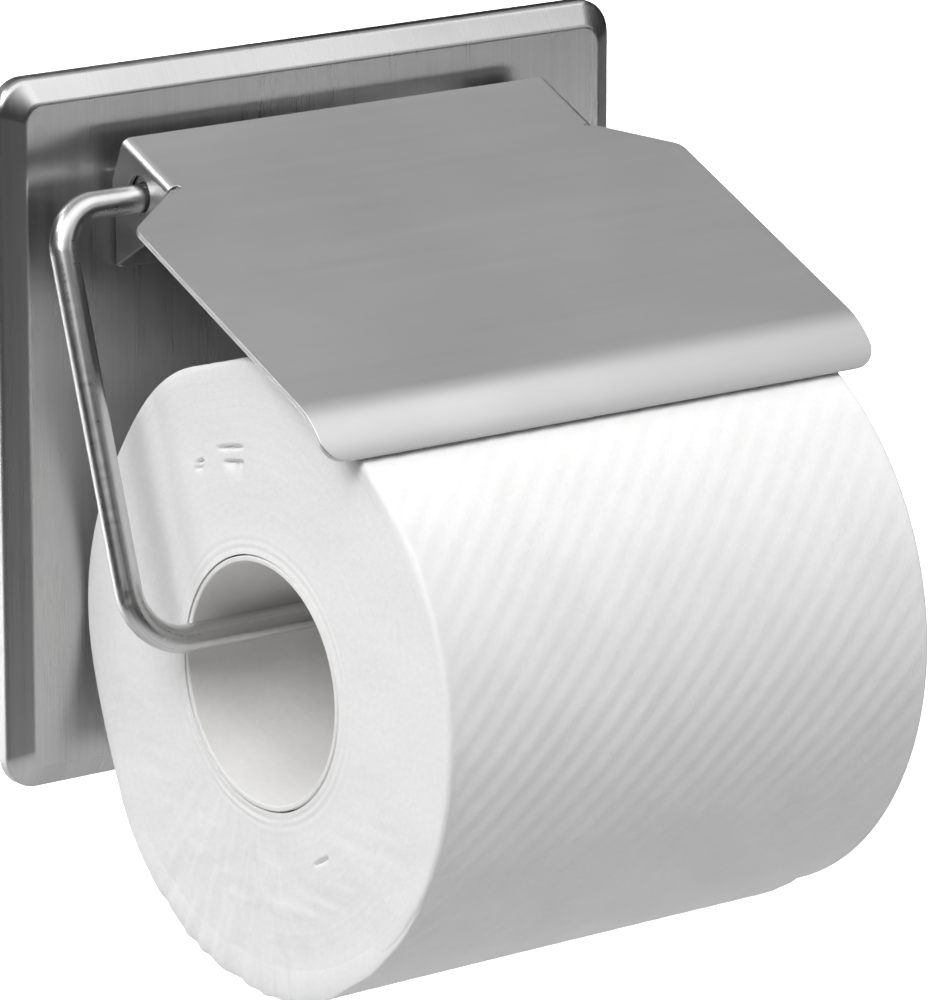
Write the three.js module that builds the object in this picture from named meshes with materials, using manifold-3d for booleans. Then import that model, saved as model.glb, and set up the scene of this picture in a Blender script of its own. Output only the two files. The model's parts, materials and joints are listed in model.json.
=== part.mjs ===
// Wall-mounted toilet paper holder with a hinged cover, loaded with a paper roll.
// Millimetres. X runs along the wall, +Z is up, the wall is the plane Y = 0 and the front faces -Y.
// "out" is the distance from the wall, so Y = -out. The origin is the centre of the wall face.
import * as THREE from 'three';
import { mergeVertices } from 'three/addons/utils/BufferGeometryUtils.js';
import Module from 'manifold-3d';

const wasm = await Module();
wasm.setup();

// Clearance between separate pieces, and thickness of all the sheet steel
const GAP = 0.3;
const SHEET = 1.0;

// Finest surface detail kept, and how far a cutting shape runs past what it cuts
const FINEST_DETAIL = 0.002;
const CUT_MARGIN = 1;
const RIGHT_ANGLE = Math.PI / 2;

// Pressed back plate
const PLATE_WIDTH = 137;
const PLATE_HEIGHT = 130;
const PLATE_DEPTH = 5.2;
const PLATE_CORNER = 6.5;
const BEVEL_WIDTH = 4.3;
const BEVEL_ANGLE = THREE.MathUtils.degToRad(31);
const BEVEL_FILLET = 1.6;
const CORNER_SHRINK = 0.6;
const SHARPEST_CORNER = 1.5;

// Packing pad between the plate and the wall
const PAD_MARGIN = 6;
const PAD_DEPTH = PLATE_DEPTH - SHEET - GAP;
const PAD_CORNER = 4;

// Wall screws
const SCREW_X = 30;
const UPPER_SCREW_Z = 33.5;
const LOWER_SCREW_Z = -54;
const SCREW_HEAD_RADIUS = 3.5;
const SCREW_HEAD_HEIGHT = 1.8;
const SCREW_SHANK_RADIUS = 2;
// Shares of the head's radius and height, from the middle of the crown to its rim
const SCREW_CROWN = [[0, 1], [0.55, 0.93], [0.88, 0.7], [1, 0.45]];
const RECESS_LENGTH = 4;
const RECESS_WIDTH = 1;
const RECESS_DEPTH = 1.1;

// Hinge line shared by the bail and the cover
const HINGE_OUT = 15.6;
const HINGE_Z = 43.7;

// Folded bracket that carries the hinge line
const BRACKET_HALF = 46.2;
const BRACKET_BACK = PLATE_DEPTH + GAP;
const BRACKET_TOP = 48;
const BRACKET_BOTTOM = 29.2;
const BRACKET_BEND = 1.5;
const EYE_FRONT_RADIUS = 7.2;
const EYE_TOP_RADIUS = 5.6;
const COVER_SWEEP_RADIUS = 10.1;
const LOWER_EDGE_ANGLE = THREE.MathUtils.degToRad(31);
// A little more than the cover and bail can lift together.
const COVER_LIFT = THREE.MathUtils.degToRad(40);

// Bent wire bail
const WIRE_RADIUS = 2.5;
const BAIL_TOP_LEFT = -65.1;
const BAIL_BOTTOM_LEFT = -66.8;
const AXLE_RIGHT = 51;
const BAR_RIGHT = 62;
const BAR_OUT = 41.6;
const BAR_Z = -29.6;
const UPPER_BEND = 8;
const LOWER_BEND = 10;

// Push-on cap that keeps the wire in the bracket
const CAP_RADIUS = 5;
const CAP_LENGTH = 1.2;
const CAP_EDGE = 0.3;

// Cover
const COVER_REAR_OUT = 10.8;
const COVER_REAR_Z = 53.8;
const COVER_TILT = THREE.MathUtils.degToRad(24.9);
const COVER_FLAT = 77.6;
const COVER_HALF = 61;
const NECK_HALF = 47.5;
const NECK_LENGTH = 15.4;
const SHOULDER_END = 25.4;
const SHOULDER_CORNER = 3;
const LIP_RADIUS = 17;
const LIP_ANGLE = THREE.MathUtils.degToRad(43.5);
const LIP_CORNER = 4.5;
const EAR_BEND = 1.7;
const EAR_REACH = 18;
const EAR_RADIUS = 6.3;
const EAR_REAR = 8.2;
const EAR_REAR_RISE = 2;
const EAR_HEEL = 8.3;
const EAR_HEEL_DROP = 0.8;
const EAR_HEEL_ANGLE = THREE.MathUtils.degToRad(-150);
const EAR_HOLE_RADIUS = 3.45;
const EAR_HOLE_RISE = 0.62;
const RELIEF_RADIUS = 0.7;

// Paper roll
const ROLL_RADIUS = 54.2;
const ROLL_WIDTH = 107;
const ROLL_OUT = PLATE_DEPTH + GAP + ROLL_RADIUS;
const ROLL_Z = -34.4;
const ROLL_EDGE = 1;
const CORE_RADIUS = 22.6;
const CORE_WALL = 1;
const CORE_EDGE = 0.2;

function toManifold(geometry) {
  const plain = geometry.clone();
  plain.deleteAttribute('normal');
  plain.deleteAttribute('uv');
  const merged = mergeVertices(plain, 1e-4);
  const vertProperties = new Float32Array(merged.attributes.position.array);
  const triVerts = new Uint32Array(merged.index.array);
  return new wasm.Manifold(new wasm.Mesh({ numProp: 3, vertProperties, triVerts }));
}

function toGeometry(manifold) {
  const mesh = manifold.simplify(FINEST_DETAIL).getMesh();
  const geometry = new THREE.BufferGeometry();
  const positions = new Float32Array(mesh.numVert * 3);
  for (let i = 0; i < mesh.numVert; i += 1) {
    for (let k = 0; k < 3; k += 1) {
      positions[i * 3 + k] = mesh.vertProperties[i * mesh.numProp + k];
    }
  }
  geometry.setAttribute('position', new THREE.BufferAttribute(positions, 3));
  geometry.setIndex(new THREE.BufferAttribute(new Uint32Array(mesh.triVerts), 1));
  geometry.computeVertexNormals();
  return geometry;
}

function arcPoints(centreX, centreY, radius, start, end, steps) {
  const points = [];
  for (let i = 0; i <= steps; i += 1) {
    const angle = start + ((end - start) * i) / steps;
    points.push(new THREE.Vector2(centreX + radius * Math.cos(angle), centreY + radius * Math.sin(angle)));
  }
  return points;
}

function shapeOf(points) {
  return new THREE.Shape(points);
}

// A full circle of evenly spaced points, each given once.
function circlePoints(x, y, radius, count) {
  return arcPoints(x, y, radius, 0, (2 * Math.PI * (count - 1)) / count, count - 1);
}

// Extrudes a shape drawn in (out, z) across the wall from x = left to x = right.
function acrossWall(shape, left, right) {
  const geometry = new THREE.ExtrudeGeometry(shape, { depth: right - left, bevelEnabled: false });
  const basis = new THREE.Matrix4().makeBasis(
    new THREE.Vector3(0, -1, 0), new THREE.Vector3(0, 0, 1), new THREE.Vector3(-1, 0, 0),
  );
  geometry.applyMatrix4(basis);
  geometry.translate(right, 0, 0);
  return geometry;
}

// Extrudes a shape drawn in (x, out) upwards from z = bottom to z = top.
function upWall(shape, bottom, top) {
  const geometry = new THREE.ExtrudeGeometry(shape, { depth: top - bottom, bevelEnabled: false });
  const basis = new THREE.Matrix4().makeBasis(
    new THREE.Vector3(1, 0, 0), new THREE.Vector3(0, -1, 0), new THREE.Vector3(0, 0, -1),
  );
  geometry.applyMatrix4(basis);
  geometry.translate(0, 0, top);
  return geometry;
}

// Extrudes a shape drawn in (x, z) away from the wall from out = back to out = front.
function offWall(shape, back, front) {
  const geometry = new THREE.ExtrudeGeometry(shape, { depth: front - back, bevelEnabled: false });
  geometry.rotateX(RIGHT_ANGLE);
  geometry.translate(0, -back, 0);
  return geometry;
}

function roundedRectangle(width, height, radius, steps) {
  const x = width / 2 - radius;
  const z = height / 2 - radius;
  const corners = [[x, z], [-x, z], [-x, -z], [x, -z]];
  return corners.flatMap(([cx, cz], i) => (
    arcPoints(cx, cz, radius, i * RIGHT_ANGLE, (i + 1) * RIGHT_ANGLE, steps)
  ));
}

// Skins a stack of equal-count loops, each given as points in (x, z) at one distance out.
function stackLoops(loops) {
  const positions = [];
  const indices = [];
  const count = loops[0].points.length;
  loops.forEach(({ points, out }) => points.forEach((p) => positions.push(p.x, -out, p.y)));
  for (let i = 0; i + 1 < loops.length; i += 1) {
    for (let j = 0; j < count; j += 1) {
      const a = i * count + j;
      const b = i * count + ((j + 1) % count);
      indices.push(a, b, b + count, a, b + count, a + count);
    }
  }
  const back = positions.length / 3;
  positions.push(0, -loops[0].out, 0);
  positions.push(0, -loops[loops.length - 1].out, 0);
  const last = (loops.length - 1) * count;
  for (let j = 0; j < count; j += 1) {
    const next = (j + 1) % count;
    indices.push(back, next, j);
    indices.push(back + 1, last + j, last + next);
  }
  const geometry = new THREE.BufferGeometry();
  geometry.setAttribute('position', new THREE.Float32BufferAttribute(positions, 3));
  geometry.setIndex(indices);
  return geometry;
}

// Inset and distance out along the pressed rim, from the wall to the flat face.
function rimProfile(depth) {
  const fillet = BEVEL_FILLET;
  const run = fillet * Math.tan((RIGHT_ANGLE - BEVEL_ANGLE) / 2);
  const rise = depth - BEVEL_WIDTH * Math.tan(BEVEL_ANGLE);
  const lowerCentre = new THREE.Vector2(fillet, rise - run);
  const lower = arcPoints(lowerCentre.x, lowerCentre.y, fillet, Math.PI, RIGHT_ANGLE + BEVEL_ANGLE, 4);
  const shift = fillet * Math.tan(BEVEL_ANGLE / 2);
  const upperCentre = new THREE.Vector2(BEVEL_WIDTH + shift, depth - fillet);
  const upper = arcPoints(upperCentre.x, upperCentre.y, fillet, RIGHT_ANGLE + BEVEL_ANGLE, RIGHT_ANGLE, 4);
  return [new THREE.Vector2(0, 0), ...lower, ...upper];
}

function pressedSolid(width, height, corner, depth) {
  return stackLoops(rimProfile(depth).map(({ x: inset, y: out }) => {
    const radius = Math.max(corner - inset * CORNER_SHRINK, SHARPEST_CORNER);
    return { points: roundedRectangle(width - 2 * inset, height - 2 * inset, radius, 7), out };
  }));
}

function screwPlaces() {
  return [
    { name: 'wall_screw_upper_left', x: -SCREW_X, z: UPPER_SCREW_Z, seat: BRACKET_BACK + SHEET },
    { name: 'wall_screw_upper_right', x: SCREW_X, z: UPPER_SCREW_Z, seat: BRACKET_BACK + SHEET },
    { name: 'wall_screw_lower_left', x: -SCREW_X, z: LOWER_SCREW_Z, seat: PLATE_DEPTH },
    { name: 'wall_screw_lower_right', x: SCREW_X, z: LOWER_SCREW_Z, seat: PLATE_DEPTH },
  ];
}

function screwHoles(places, back, front) {
  return places.map(({ x, z }) => {
    const outline = shapeOf(circlePoints(x, z, SCREW_SHANK_RADIUS + GAP, 20));
    return toManifold(offWall(outline, back, front));
  });
}

function backPlate() {
  const outer = toManifold(pressedSolid(PLATE_WIDTH, PLATE_HEIGHT, PLATE_CORNER, PLATE_DEPTH));
  const inner = toManifold(pressedSolid(
    PLATE_WIDTH - 2 * SHEET, PLATE_HEIGHT - 2 * SHEET, PLATE_CORNER - SHEET, PLATE_DEPTH - SHEET,
  ));
  const opened = outer.subtract(inner);
  const holes = screwHoles(screwPlaces(), -CUT_MARGIN, PLATE_DEPTH + CUT_MARGIN);
  return toGeometry(holes.reduce((body, hole) => body.subtract(hole), opened));
}

function wallPad() {
  const width = PLATE_WIDTH - 2 * PAD_MARGIN;
  const height = PLATE_HEIGHT - 2 * PAD_MARGIN;
  const block = toManifold(offWall(shapeOf(roundedRectangle(width, height, PAD_CORNER, 5)), 0, PAD_DEPTH));
  const holes = screwHoles(screwPlaces(), -CUT_MARGIN, PAD_DEPTH + CUT_MARGIN);
  return toGeometry(holes.reduce((body, hole) => body.subtract(hole), block));
}

// The screw stands on its own axis: local Y = -out, with the underside of the head at Y = 0.
function wallScrew(seat) {
  const profile = [
    ...SCREW_CROWN.map(([r, h]) => new THREE.Vector2(r * SCREW_HEAD_RADIUS, -h * SCREW_HEAD_HEIGHT)),
    new THREE.Vector2(SCREW_HEAD_RADIUS, 0),
    new THREE.Vector2(SCREW_SHANK_RADIUS, 0),
    new THREE.Vector2(SCREW_SHANK_RADIUS, seat),
    new THREE.Vector2(0, seat),
  ];
  const body = toManifold(new THREE.LatheGeometry(profile, 20));
  const slot = new THREE.BoxGeometry(RECESS_LENGTH, 2 * RECESS_DEPTH, RECESS_WIDTH);
  slot.translate(0, -SCREW_HEAD_HEIGHT, 0);
  const crossed = slot.clone().rotateY(RIGHT_ANGLE);
  return toGeometry(body.subtract(toManifold(slot)).subtract(toManifold(crossed)));
}

function hingePoint(radius, angle) {
  return new THREE.Vector2(HINGE_OUT + radius * Math.cos(angle), HINGE_Z + radius * Math.sin(angle));
}

// Side view of a bracket flange: an eye on the hinge line and a neck down to the wall. Its top stays
// under the cover, and within the sweep of the cover's rear edge, over the whole lift.
function flangeOutline() {
  const coverNormal = RIGHT_ANGLE - COVER_TILT;
  const frontAngle = coverNormal - Math.acos(EYE_TOP_RADIUS / EYE_FRONT_RADIUS);
  const neckNormal = coverNormal + COVER_LIFT;
  const neckAngle = neckNormal + Math.acos(EYE_TOP_RADIUS / COVER_SWEEP_RADIUS);
  const neck = hingePoint(COVER_SWEEP_RADIUS, neckAngle);
  const tangent = hingePoint(EYE_FRONT_RADIUS, LOWER_EDGE_ANGLE - RIGHT_ANGLE);
  const rootZ = tangent.y - (tangent.x - BRACKET_BACK) * Math.tan(LOWER_EDGE_ANGLE);
  return [
    new THREE.Vector2(BRACKET_BACK, rootZ),
    ...arcPoints(HINGE_OUT, HINGE_Z, EYE_FRONT_RADIUS, LOWER_EDGE_ANGLE - RIGHT_ANGLE, frontAngle, 10),
    ...arcPoints(HINGE_OUT, HINGE_Z, EYE_TOP_RADIUS, coverNormal, neckNormal, 8),
    neck,
    new THREE.Vector2(BRACKET_BACK, neck.y),
  ];
}

// Plan view of the folded strip: a web on the plate and a flange standing out at each end.
function bracketPlan() {
  const front = HINGE_OUT + EYE_FRONT_RADIUS + GAP;
  const outer = BRACKET_BEND;
  const inner = BRACKET_BEND - SHEET;
  const bendX = BRACKET_HALF - outer;
  const bendOut = BRACKET_BACK + outer;
  return shapeOf([
    ...arcPoints(-bendX, bendOut, outer, Math.PI, 1.5 * Math.PI, 5),
    ...arcPoints(bendX, bendOut, outer, -RIGHT_ANGLE, 0, 5),
    new THREE.Vector2(BRACKET_HALF, front),
    new THREE.Vector2(BRACKET_HALF - SHEET, front),
    ...arcPoints(bendX, bendOut, inner, 0, -RIGHT_ANGLE, 3),
    ...arcPoints(-bendX, bendOut, inner, 1.5 * Math.PI, Math.PI, 3),
    new THREE.Vector2(SHEET - BRACKET_HALF, front),
    new THREE.Vector2(-BRACKET_HALF, front),
  ]);
}

function hingeBracket() {
  const strip = toManifold(upWall(bracketPlan(), BRACKET_BOTTOM, BRACKET_TOP));
  const side = shapeOf(flangeOutline());
  side.holes.push(new THREE.Path(circlePoints(HINGE_OUT, HINGE_Z, WIRE_RADIUS + GAP, 28).reverse()));
  const reach = BRACKET_HALF + CUT_MARGIN;
  const cut = strip.intersect(toManifold(acrossWall(side, -reach, reach)));
  const uppers = screwPlaces().filter((place) => place.z > 0);
  return toGeometry(screwHoles(uppers, 0, HINGE_OUT).reduce((body, hole) => body.subtract(hole), cut));
}

// A curve whose stations are given one by one, so straight runs take a single step.
class StationPath extends THREE.Curve {
  constructor(points, tangents) {
    super();
    this.points = points;
    this.tangents = tangents;
  }

  pick(list, t) {
    const last = list.length - 1;
    const index = Math.min(Math.floor(t * last + 1e-9), last - 1);
    return list[index].clone().lerp(list[index + 1], t * last - index);
  }

  getPoint(t) {
    return this.pick(this.points, t);
  }

  getPointAt(t) {
    return this.pick(this.points, t);
  }

  getTangent(t) {
    return this.pick(this.tangents, t).normalize();
  }

  getTangentAt(t) {
    return this.getTangent(t);
  }
}

function bendStations(corner, before, after, radius, steps) {
  const turn = before.angleTo(after);
  const reach = radius * Math.tan(turn / 2);
  const start = corner.clone().addScaledVector(before, -reach);
  const inward = after.clone().addScaledVector(before, -after.dot(before)).normalize();
  const centre = start.clone().addScaledVector(inward, radius);
  const stations = [];
  for (let i = 0; i <= steps; i += 1) {
    const angle = (turn * i) / steps;
    const point = centre.clone()
      .addScaledVector(inward, -radius * Math.cos(angle))
      .addScaledVector(before, radius * Math.sin(angle));
    const tangent = before.clone().multiplyScalar(Math.cos(angle)).addScaledVector(inward, Math.sin(angle));
    stations.push({ point, tangent });
  }
  return stations;
}

function rollBail() {
  const left = new THREE.Vector3(-1, 0, 0);
  const right = new THREE.Vector3(1, 0, 0);
  const upperCorner = new THREE.Vector3(BAIL_TOP_LEFT, -HINGE_OUT, HINGE_Z);
  const lowerCorner = new THREE.Vector3(BAIL_BOTTOM_LEFT, -BAR_OUT, BAR_Z);
  const down = lowerCorner.clone().sub(upperCorner).normalize();
  const stations = [
    { point: new THREE.Vector3(AXLE_RIGHT, -HINGE_OUT, HINGE_Z), tangent: left },
    ...bendStations(upperCorner, left, down, UPPER_BEND, 9),
    ...bendStations(lowerCorner, down, right, LOWER_BEND, 10),
    { point: new THREE.Vector3(BAR_RIGHT, -BAR_OUT, BAR_Z), tangent: right },
  ];
  const path = new StationPath(stations.map((s) => s.point), stations.map((s) => s.tangent));
  const circle = shapeOf(circlePoints(0, 0, WIRE_RADIUS, 20));
  const steps = stations.length - 1;
  return new THREE.ExtrudeGeometry(circle, { steps, extrudePath: path, bevelEnabled: false });
}

// A ring about the X axis, from local x = 0 to x = length, with eased outer corners.
function ringAlongX(innerRadius, outerRadius, length, edge, segments) {
  const ease = edge * (1 - Math.SQRT1_2);
  const profile = [
    new THREE.Vector2(innerRadius, 0),
    new THREE.Vector2(outerRadius - edge, 0),
    new THREE.Vector2(outerRadius - ease, ease),
    new THREE.Vector2(outerRadius, edge),
    new THREE.Vector2(outerRadius, length - edge),
    new THREE.Vector2(outerRadius - ease, length - ease),
    new THREE.Vector2(outerRadius - edge, length),
    new THREE.Vector2(innerRadius, length),
    new THREE.Vector2(innerRadius, 0),
  ];
  const geometry = new THREE.LatheGeometry(profile, segments);
  geometry.rotateZ(-RIGHT_ANGLE);
  return toGeometry(toManifold(geometry));
}

// Position along the cover sheet: s runs from the rear edge to the front, lift is above the top face.
function coverPoint(s, lift) {
  const bendStart = new THREE.Vector2(
    COVER_REAR_OUT + COVER_FLAT * Math.cos(COVER_TILT), COVER_REAR_Z - COVER_FLAT * Math.sin(COVER_TILT),
  );
  const slope = COVER_TILT + Math.max(0, s - COVER_FLAT) / LIP_RADIUS;
  const onFlat = Math.min(s, COVER_FLAT) - COVER_FLAT;
  const lipOut = LIP_RADIUS * (Math.sin(slope) - Math.sin(COVER_TILT));
  const lipDrop = LIP_RADIUS * (Math.cos(COVER_TILT) - Math.cos(slope));
  const out = bendStart.x + onFlat * Math.cos(COVER_TILT) + lipOut;
  const z = bendStart.y - onFlat * Math.sin(COVER_TILT) - lipDrop;
  return new THREE.Vector2(out + lift * Math.sin(slope), z + lift * Math.cos(slope));
}

function coverSheet() {
  const lipLength = LIP_RADIUS * LIP_ANGLE;
  const steps = 12;
  const top = [coverPoint(0, 0)];
  const under = [coverPoint(0, -SHEET)];
  for (let i = 0; i <= steps; i += 1) {
    const s = COVER_FLAT + (lipLength * i) / steps;
    top.push(coverPoint(s, 0));
    under.push(coverPoint(s, -SHEET));
  }
  return toManifold(acrossWall(shapeOf([...top, ...under.reverse()]), -COVER_HALF, COVER_HALF));
}

// Carries a shape drawn in (x, s) through the tilted cover, reaching the same height above and below it.
function throughCover(shape, height) {
  const geometry = new THREE.ExtrudeGeometry(shape, { depth: 2 * height, bevelEnabled: false });
  geometry.translate(0, 0, -height);
  const right = new THREE.Vector3(1, 0, 0);
  const along = new THREE.Vector3(0, -Math.cos(COVER_TILT), -Math.sin(COVER_TILT));
  geometry.applyMatrix4(new THREE.Matrix4().makeBasis(right, along, right.clone().cross(along)));
  geometry.translate(0, -COVER_REAR_OUT, COVER_REAR_Z);
  return toManifold(geometry);
}

// Runs a shape drawn in (x, lift) down the tilted cover from its rear edge.
function alongCover(shape, length) {
  const geometry = new THREE.ExtrudeGeometry(shape, { depth: length, bevelEnabled: false });
  const right = new THREE.Vector3(1, 0, 0);
  const normal = new THREE.Vector3(0, -Math.sin(COVER_TILT), Math.cos(COVER_TILT));
  geometry.applyMatrix4(new THREE.Matrix4().makeBasis(right, normal, right.clone().cross(normal)));
  geometry.translate(0, -COVER_REAR_OUT, COVER_REAR_Z);
  return toManifold(geometry);
}

function mirroredOutline(half) {
  return shapeOf([...half, ...half.map((p) => new THREE.Vector2(-p.x, p.y)).reverse()]);
}

// Plan of the cover behind and beside the fold: narrow neck, sloping shoulders, straight sides.
function coverOutline() {
  const shoulder = Math.atan2(SHOULDER_END - NECK_LENGTH, COVER_HALF - NECK_HALF);
  const cornerS = SHOULDER_END + SHOULDER_CORNER * Math.tan((RIGHT_ANGLE - shoulder) / 2);
  const cornerX = COVER_HALF - SHOULDER_CORNER;
  return mirroredOutline([
    new THREE.Vector2(0, NECK_LENGTH - SHEET),
    new THREE.Vector2(NECK_HALF - EAR_BEND, NECK_LENGTH - SHEET),
    new THREE.Vector2(NECK_HALF, NECK_LENGTH - GAP),
    ...arcPoints(cornerX, cornerS, SHOULDER_CORNER, shoulder - RIGHT_ANGLE, 0, 5),
    new THREE.Vector2(COVER_HALF, COVER_FLAT + 2 * LIP_RADIUS),
  ]);
}

// Front view of everything above the rounded lower corners of the lip.
function lipOutline() {
  const edge = coverPoint(COVER_FLAT + LIP_RADIUS * LIP_ANGLE, -SHEET).y;
  const x = COVER_HALF - LIP_CORNER;
  return mirroredOutline([
    new THREE.Vector2(x, edge - CUT_MARGIN),
    ...arcPoints(x, edge + LIP_CORNER, LIP_CORNER, -RIGHT_ANGLE, 0, 6),
    new THREE.Vector2(COVER_HALF, COVER_REAR_Z + LIP_CORNER),
  ]);
}

// Side view of a cover ear around the hinge line.
function earOutline() {
  const tip = coverPoint(NECK_LENGTH, -SHEET);
  const reach = Math.hypot(tip.x - HINGE_OUT, tip.y - HINGE_Z);
  const frontAngle = Math.atan2(tip.y - HINGE_Z, tip.x - HINGE_OUT) - Math.acos(EAR_RADIUS / reach);
  return [
    coverPoint(0, 0),
    new THREE.Vector2(HINGE_OUT - EAR_REAR, HINGE_Z + EAR_REAR_RISE),
    new THREE.Vector2(HINGE_OUT - EAR_HEEL, HINGE_Z - EAR_HEEL_DROP),
    ...arcPoints(HINGE_OUT, HINGE_Z, EAR_RADIUS, EAR_HEEL_ANGLE, frontAngle, 12),
    tip,
    coverPoint(NECK_LENGTH, 0),
  ];
}

// The neck is an upside-down trough: a flat top and two ears joined by round folds.
function neckTrough() {
  const x = NECK_HALF - EAR_BEND;
  const inner = EAR_BEND - SHEET;
  return alongCover(shapeOf([
    new THREE.Vector2(-NECK_HALF, -EAR_REACH),
    new THREE.Vector2(SHEET - NECK_HALF, -EAR_REACH),
    ...arcPoints(-x, -EAR_BEND, inner, Math.PI, RIGHT_ANGLE, 3),
    ...arcPoints(x, -EAR_BEND, inner, RIGHT_ANGLE, 0, 3),
    new THREE.Vector2(NECK_HALF - SHEET, -EAR_REACH),
    new THREE.Vector2(NECK_HALF, -EAR_REACH),
    ...arcPoints(x, -EAR_BEND, EAR_BEND, 0, RIGHT_ANGLE, 6),
    ...arcPoints(-x, -EAR_BEND, EAR_BEND, RIGHT_ANGLE, Math.PI, 6),
  ]), NECK_LENGTH);
}

function earHoles() {
  const hole = shapeOf(circlePoints(HINGE_OUT, HINGE_Z + EAR_HOLE_RISE, EAR_HOLE_RADIUS, 28));
  return toManifold(acrossWall(hole, -NECK_HALF - CUT_MARGIN, NECK_HALF + CUT_MARGIN));
}

function foldRelief(side) {
  const x = side * (NECK_HALF - RELIEF_RADIUS / 2);
  const s = NECK_LENGTH + RELIEF_RADIUS / 2;
  return throughCover(shapeOf(circlePoints(x, s, RELIEF_RADIUS, 12)), 2 * SHEET);
}

function cover() {
  const wide = coverSheet()
    .intersect(throughCover(coverOutline(), 3 * LIP_RADIUS))
    .intersect(toManifold(offWall(lipOutline(), 0, 2 * COVER_FLAT)));
  const neck = neckTrough().intersect(toManifold(acrossWall(shapeOf(earOutline()), -NECK_HALF, NECK_HALF)));
  const joined = wide.add(neck).subtract(earHoles());
  return toGeometry(joined.subtract(foldRelief(-1)).subtract(foldRelief(1)));
}

function material(color, roughness, metalness) {
  return new THREE.MeshStandardMaterial({ color, roughness, metalness });
}

function named(name, geometry, look) {
  const mesh = new THREE.Mesh(geometry, look);
  mesh.name = name;
  return mesh;
}

function wallSide() {
  const group = new THREE.Group();
  group.add(named('back_plate', backPlate(), material(0xa9adb0, 0.3, 1)));
  group.add(named('wall_pad', wallPad(), material(0x6f7273, 0.8, 0)));
  group.add(named('hinge_bracket', hingeBracket(), material(0xa4a8ab, 0.35, 1)));
  screwPlaces().forEach(({ name, x, z, seat }) => {
    const screw = named(name, wallScrew(seat), material(0xb4b6b8, 0.35, 1));
    screw.position.set(x, -seat - GAP, z);
    group.add(screw);
  });
  return group;
}

function bailSide() {
  const group = new THREE.Group();
  group.add(named('roll_bail', rollBail(), material(0xb9bcbe, 0.2, 1)));
  const ring = ringAlongX(WIRE_RADIUS + GAP, CAP_RADIUS, CAP_LENGTH, CAP_EDGE, 24);
  const cap = named('axle_cap', ring, material(0xaeb1b3, 0.35, 1));
  cap.position.set(NECK_HALF + GAP, -HINGE_OUT, HINGE_Z);
  group.add(cap);
  return group;
}

function loadedRoll() {
  const group = new THREE.Group();
  const inner = CORE_RADIUS - CORE_WALL;
  const tube = ringAlongX(inner, CORE_RADIUS, ROLL_WIDTH, CORE_EDGE, 64);
  const paper = ringAlongX(CORE_RADIUS + GAP, ROLL_RADIUS, ROLL_WIDTH, ROLL_EDGE, 96);
  group.add(named('roll_core', tube, material(0xcdc6ba, 0.9, 0)));
  group.add(named('paper_roll', paper, material(0xf2f2f0, 0.95, 0)));
  group.position.set(-ROLL_WIDTH / 2, -ROLL_OUT, ROLL_Z);
  return group;
}

const holder = new THREE.Group();
holder.name = 'toilet_paper_holder';
holder.add(wallSide());
holder.add(bailSide());
holder.add(named('cover', cover(), material(0x9fa2a4, 0.4, 1)));
holder.add(loadedRoll());

export default holder;
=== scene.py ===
"""Looks for the wall-mounted toilet paper holder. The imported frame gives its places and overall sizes.

Distances are in metres. "Out" is the distance from the wall, along -Y. "Turn" is the angle round the roll's
axis: 0 faces the room and a quarter turn is the top. The near end of the roll is the one towards -X.
"""
import json
import math

import bpy
import bmesh
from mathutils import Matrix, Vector, geometry, noise


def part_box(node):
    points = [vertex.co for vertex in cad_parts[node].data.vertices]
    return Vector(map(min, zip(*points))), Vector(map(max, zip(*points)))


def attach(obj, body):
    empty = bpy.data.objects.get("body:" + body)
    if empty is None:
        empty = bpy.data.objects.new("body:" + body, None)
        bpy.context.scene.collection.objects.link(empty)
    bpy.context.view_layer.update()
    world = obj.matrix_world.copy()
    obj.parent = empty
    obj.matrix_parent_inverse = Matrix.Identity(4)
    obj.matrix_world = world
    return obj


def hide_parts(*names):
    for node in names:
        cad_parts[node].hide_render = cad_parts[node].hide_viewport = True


MM = 0.001
QUARTER = math.pi / 2
FULL = 2 * math.pi
SHEET = 1.0 * MM

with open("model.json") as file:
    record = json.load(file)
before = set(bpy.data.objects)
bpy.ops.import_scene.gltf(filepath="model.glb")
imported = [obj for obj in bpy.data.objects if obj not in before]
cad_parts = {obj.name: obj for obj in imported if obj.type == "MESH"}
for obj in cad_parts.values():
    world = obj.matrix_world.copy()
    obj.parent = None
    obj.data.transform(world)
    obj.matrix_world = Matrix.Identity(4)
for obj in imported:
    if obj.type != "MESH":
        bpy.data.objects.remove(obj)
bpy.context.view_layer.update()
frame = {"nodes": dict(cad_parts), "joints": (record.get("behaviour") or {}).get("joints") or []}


def joint_point(name):
    """Where a joint's axis crosses the middle plane."""
    found = next(joint for joint in frame["joints"] if joint["name"] == name)
    return Vector(found["pos_m"])


def node_box(name):
    low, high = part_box(name)
    return Vector(low), Vector(high)


HINGE = joint_point("bail_swing")
HINGE_OUT = -HINGE.y
HINGE_Z = HINGE.z
ROLL_AXIS = joint_point("roll_spin")

# ---------------------------------------------------------------- materials

BROAD_SHARE = 0.12


def grey(value):
    return (value, value, value)


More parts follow.
